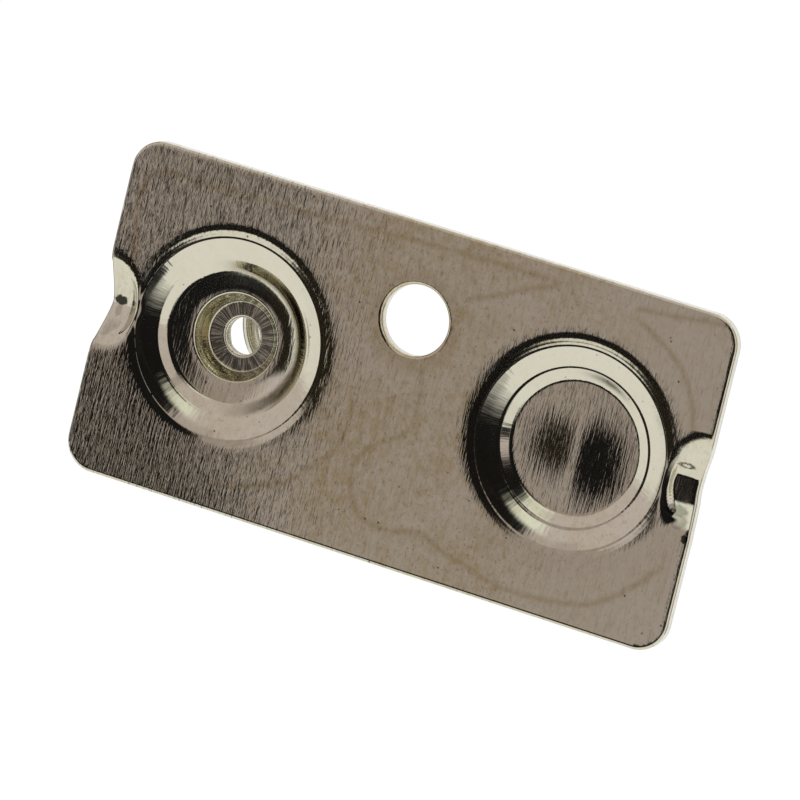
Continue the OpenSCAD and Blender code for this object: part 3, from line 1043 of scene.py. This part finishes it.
CARD_DISTANCE = 0.25
CARD_LOW, CARD_HIGH = -45, 80
CARD_STEPS = (240, 125)
BLACK = (0.012, 0.011, 0.012)
BROWN = (0.485, 0.425, 0.43)
PINK = (0.72, 0.65, 0.68)
OLIVE = (0.022, 0.018, 0.013)
WHITE = (1.0, 1.0, 1.0)
LAMP = (1.05, 1.1, 1.05)
BRIGHT = (1.12, 1.12, 1.15)
# The painted card's patches, laid one over another: (azimuths, elevations, softness across and up,
# paint), in degrees from straight in front of the sheet
PATCHES = [
    ((-105, 62), (-4, 95), (8, 8), PINK),
    ((-30, -6), (-20, 20), (3, 18), BROWN),
    ((-47, 9), (-28, -16), (4, 3), BLACK),
    ((-49, -27), (-27, -3), (4, 4), OLIVE),
    ((-10, 9), (-24, 36), (4, 4), BLACK),
    ((7, 36), (-23, 45), (4, 24), BLACK),
    ((-16, 12), (27, 46), (13, 13), LAMP),
    ((36, 46), (-11, -2), (5, 5), BLACK),
    ((-218, -142), (-60, 60), (6, 6), BRIGHT),
    ((142, 218), (-60, 60), (6, 6), BRIGHT),
    ((91, 117), (-40, 50), (6, 6), BROWN),
    ((117, 127), (-40, 50), (4, 4), BLACK),
    ((-132, -106), (-40, 50), (6, 6), BROWN),
    ((-106, -96), (-40, 50), (4, 4), BLACK),
]
# The surround's strength where it is seen or reflected, and where it only lights
SEEN_LIGHT, UNSEEN_LIGHT = 1.0, 0.8
FLOOR_HALF = 3.0
FLOOR_DROP = -0.12
FLOOR_TONE = 0.9
FLOOR_GLOW = 0.31


def within(value, ends, soft):
    """1 between two ends, with soft edges."""
    return smooth((value - ends[0]) / soft + 0.5) * smooth((ends[1] - value) / soft + 0.5)


def card_colour(az, el):
    """What the metal sees in each direction."""
    colour = np.tile(np.array(WHITE), (len(az), 1))
    for azimuths, elevations, soft, paint in PATCHES:
        share = (within(az, azimuths, soft[0]) * within(el, elevations, soft[1]))[:, None]
        colour = colour * (1 - share) + np.array(paint) * share
    return colour


def set_card():
    """One card curved all round the object, painted, and seen only in the metal."""
    across, up = CARD_STEPS
    az = np.repeat(np.linspace(-180, 180, across + 1)[None], up + 1, axis=0).ravel()
    el = np.repeat(np.linspace(CARD_LOW, CARD_HIGH, up + 1)[:, None], across + 1, axis=1).ravel()
    a, e = np.radians(az), np.radians(el)
    ways = np.stack([np.sin(a) * np.cos(e), -np.cos(a) * np.cos(e), np.sin(e)], axis=1)
    row = across + 1
    faces = [(j * row + i, j * row + i + 1, (j + 1) * row + i + 1, (j + 1) * row + i)
             for j in range(up) for i in range(across)]
    mesh = bpy.data.meshes.new("studio_card")
    mesh.from_pydata((CARD_DISTANCE * ways).tolist(), [], faces)
    colour = np.hstack([card_colour(az, el), np.ones((len(az), 1))])
    mesh.attributes.new("paint", "FLOAT_COLOR", "POINT").data.foreach_set("color", colour.ravel())
    obj = bpy.data.objects.new("studio_card", mesh)
    bpy.context.scene.collection.objects.link(obj)
    material, tree = fresh_material("card_paint")
    paint = attribute(tree, "paint", "Color")
    finish_material(tree, add_node(tree, "ShaderNodeEmission", None, Color=paint, Strength=1.0))
    mesh.materials.append(material)
    obj.visible_camera = False
    obj.visible_diffuse = False
    obj.visible_shadow = False
    obj.visible_transmission = False


def set_world():
    """An even pale surround, brighter where it is seen or reflected than where it only lights."""
    world = bpy.data.worlds.new("studio")
    bpy.context.scene.world = world
    world.use_nodes = True
    tree = world.node_tree
    tree.nodes.clear()
    path = add_node(tree, "ShaderNodeLightPath").outputs
    seen = maths(tree, "MAXIMUM", path["Is Camera Ray"], path["Is Glossy Ray"])
    seen = maths(tree, "MAXIMUM", seen, path["Is Transmission Ray"])
    strength = ramp(tree, seen, 0.0, 1.0, UNSEEN_LIGHT, SEEN_LIGHT)
    back = add_node(tree, "ShaderNodeBackground", None, Color=(1, 1, 1, 1), Strength=strength)
    finish_material(tree, back, "ShaderNodeOutputWorld")


def set_floor():
    mesh = bpy.data.meshes.new("floor")
    corners = [(x * FLOOR_HALF, y * FLOOR_HALF, FLOOR_DROP)
               for x, y in ((-1, -1), (1, -1), (1, 1), (-1, 1))]
    mesh.from_pydata(corners, [], [(0, 1, 2, 3)])
    floor = bpy.data.objects.new("floor", mesh)
    bpy.context.scene.collection.objects.link(floor)
    material, tree = fresh_material("pale_floor")
    diffuse = add_node(tree, "ShaderNodeBsdfDiffuse", None, Color=(*(FLOOR_TONE,) * 3, 1))
    glow = add_node(tree, "ShaderNodeEmission", None, Color=(1, 1, 1, 1), Strength=FLOOR_GLOW)
    both = add_node(tree, "ShaderNodeAddShader", None, i0=diffuse.outputs[0], i1=glow.outputs[0])
    finish_material(tree, both)
    mesh.materials.append(material)


def set_camera():
    data = bpy.data.cameras.new("camera")
    data.sensor_width = SENSOR_MM
    data.lens = FOCAL_PX / IMAGE_PX * SENSOR_MM
    camera = bpy.data.objects.new("camera", data)
    bpy.context.scene.collection.objects.link(camera)
    axes = Matrix((CAMERA_RIGHT, CAMERA_UP, CAMERA_BACK)).transposed()
    camera.matrix_world = Matrix.Translation(CAMERA_AT) @ axes.to_4x4()
    bpy.context.scene.camera = camera


# The object and its stage

plate = make_plate()
mark_plate(plate)
plate.data.materials.append(plated_sheet())
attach(plate, "root")
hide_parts("contact_plate")

spring = make_spring()
spring.data.materials.append(plated_wire())
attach(spring, "root")
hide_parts("coil_spring")

set_card()
set_world()
set_floor()
set_camera()
bpy.context.scene.view_settings.view_transform = "Standard"
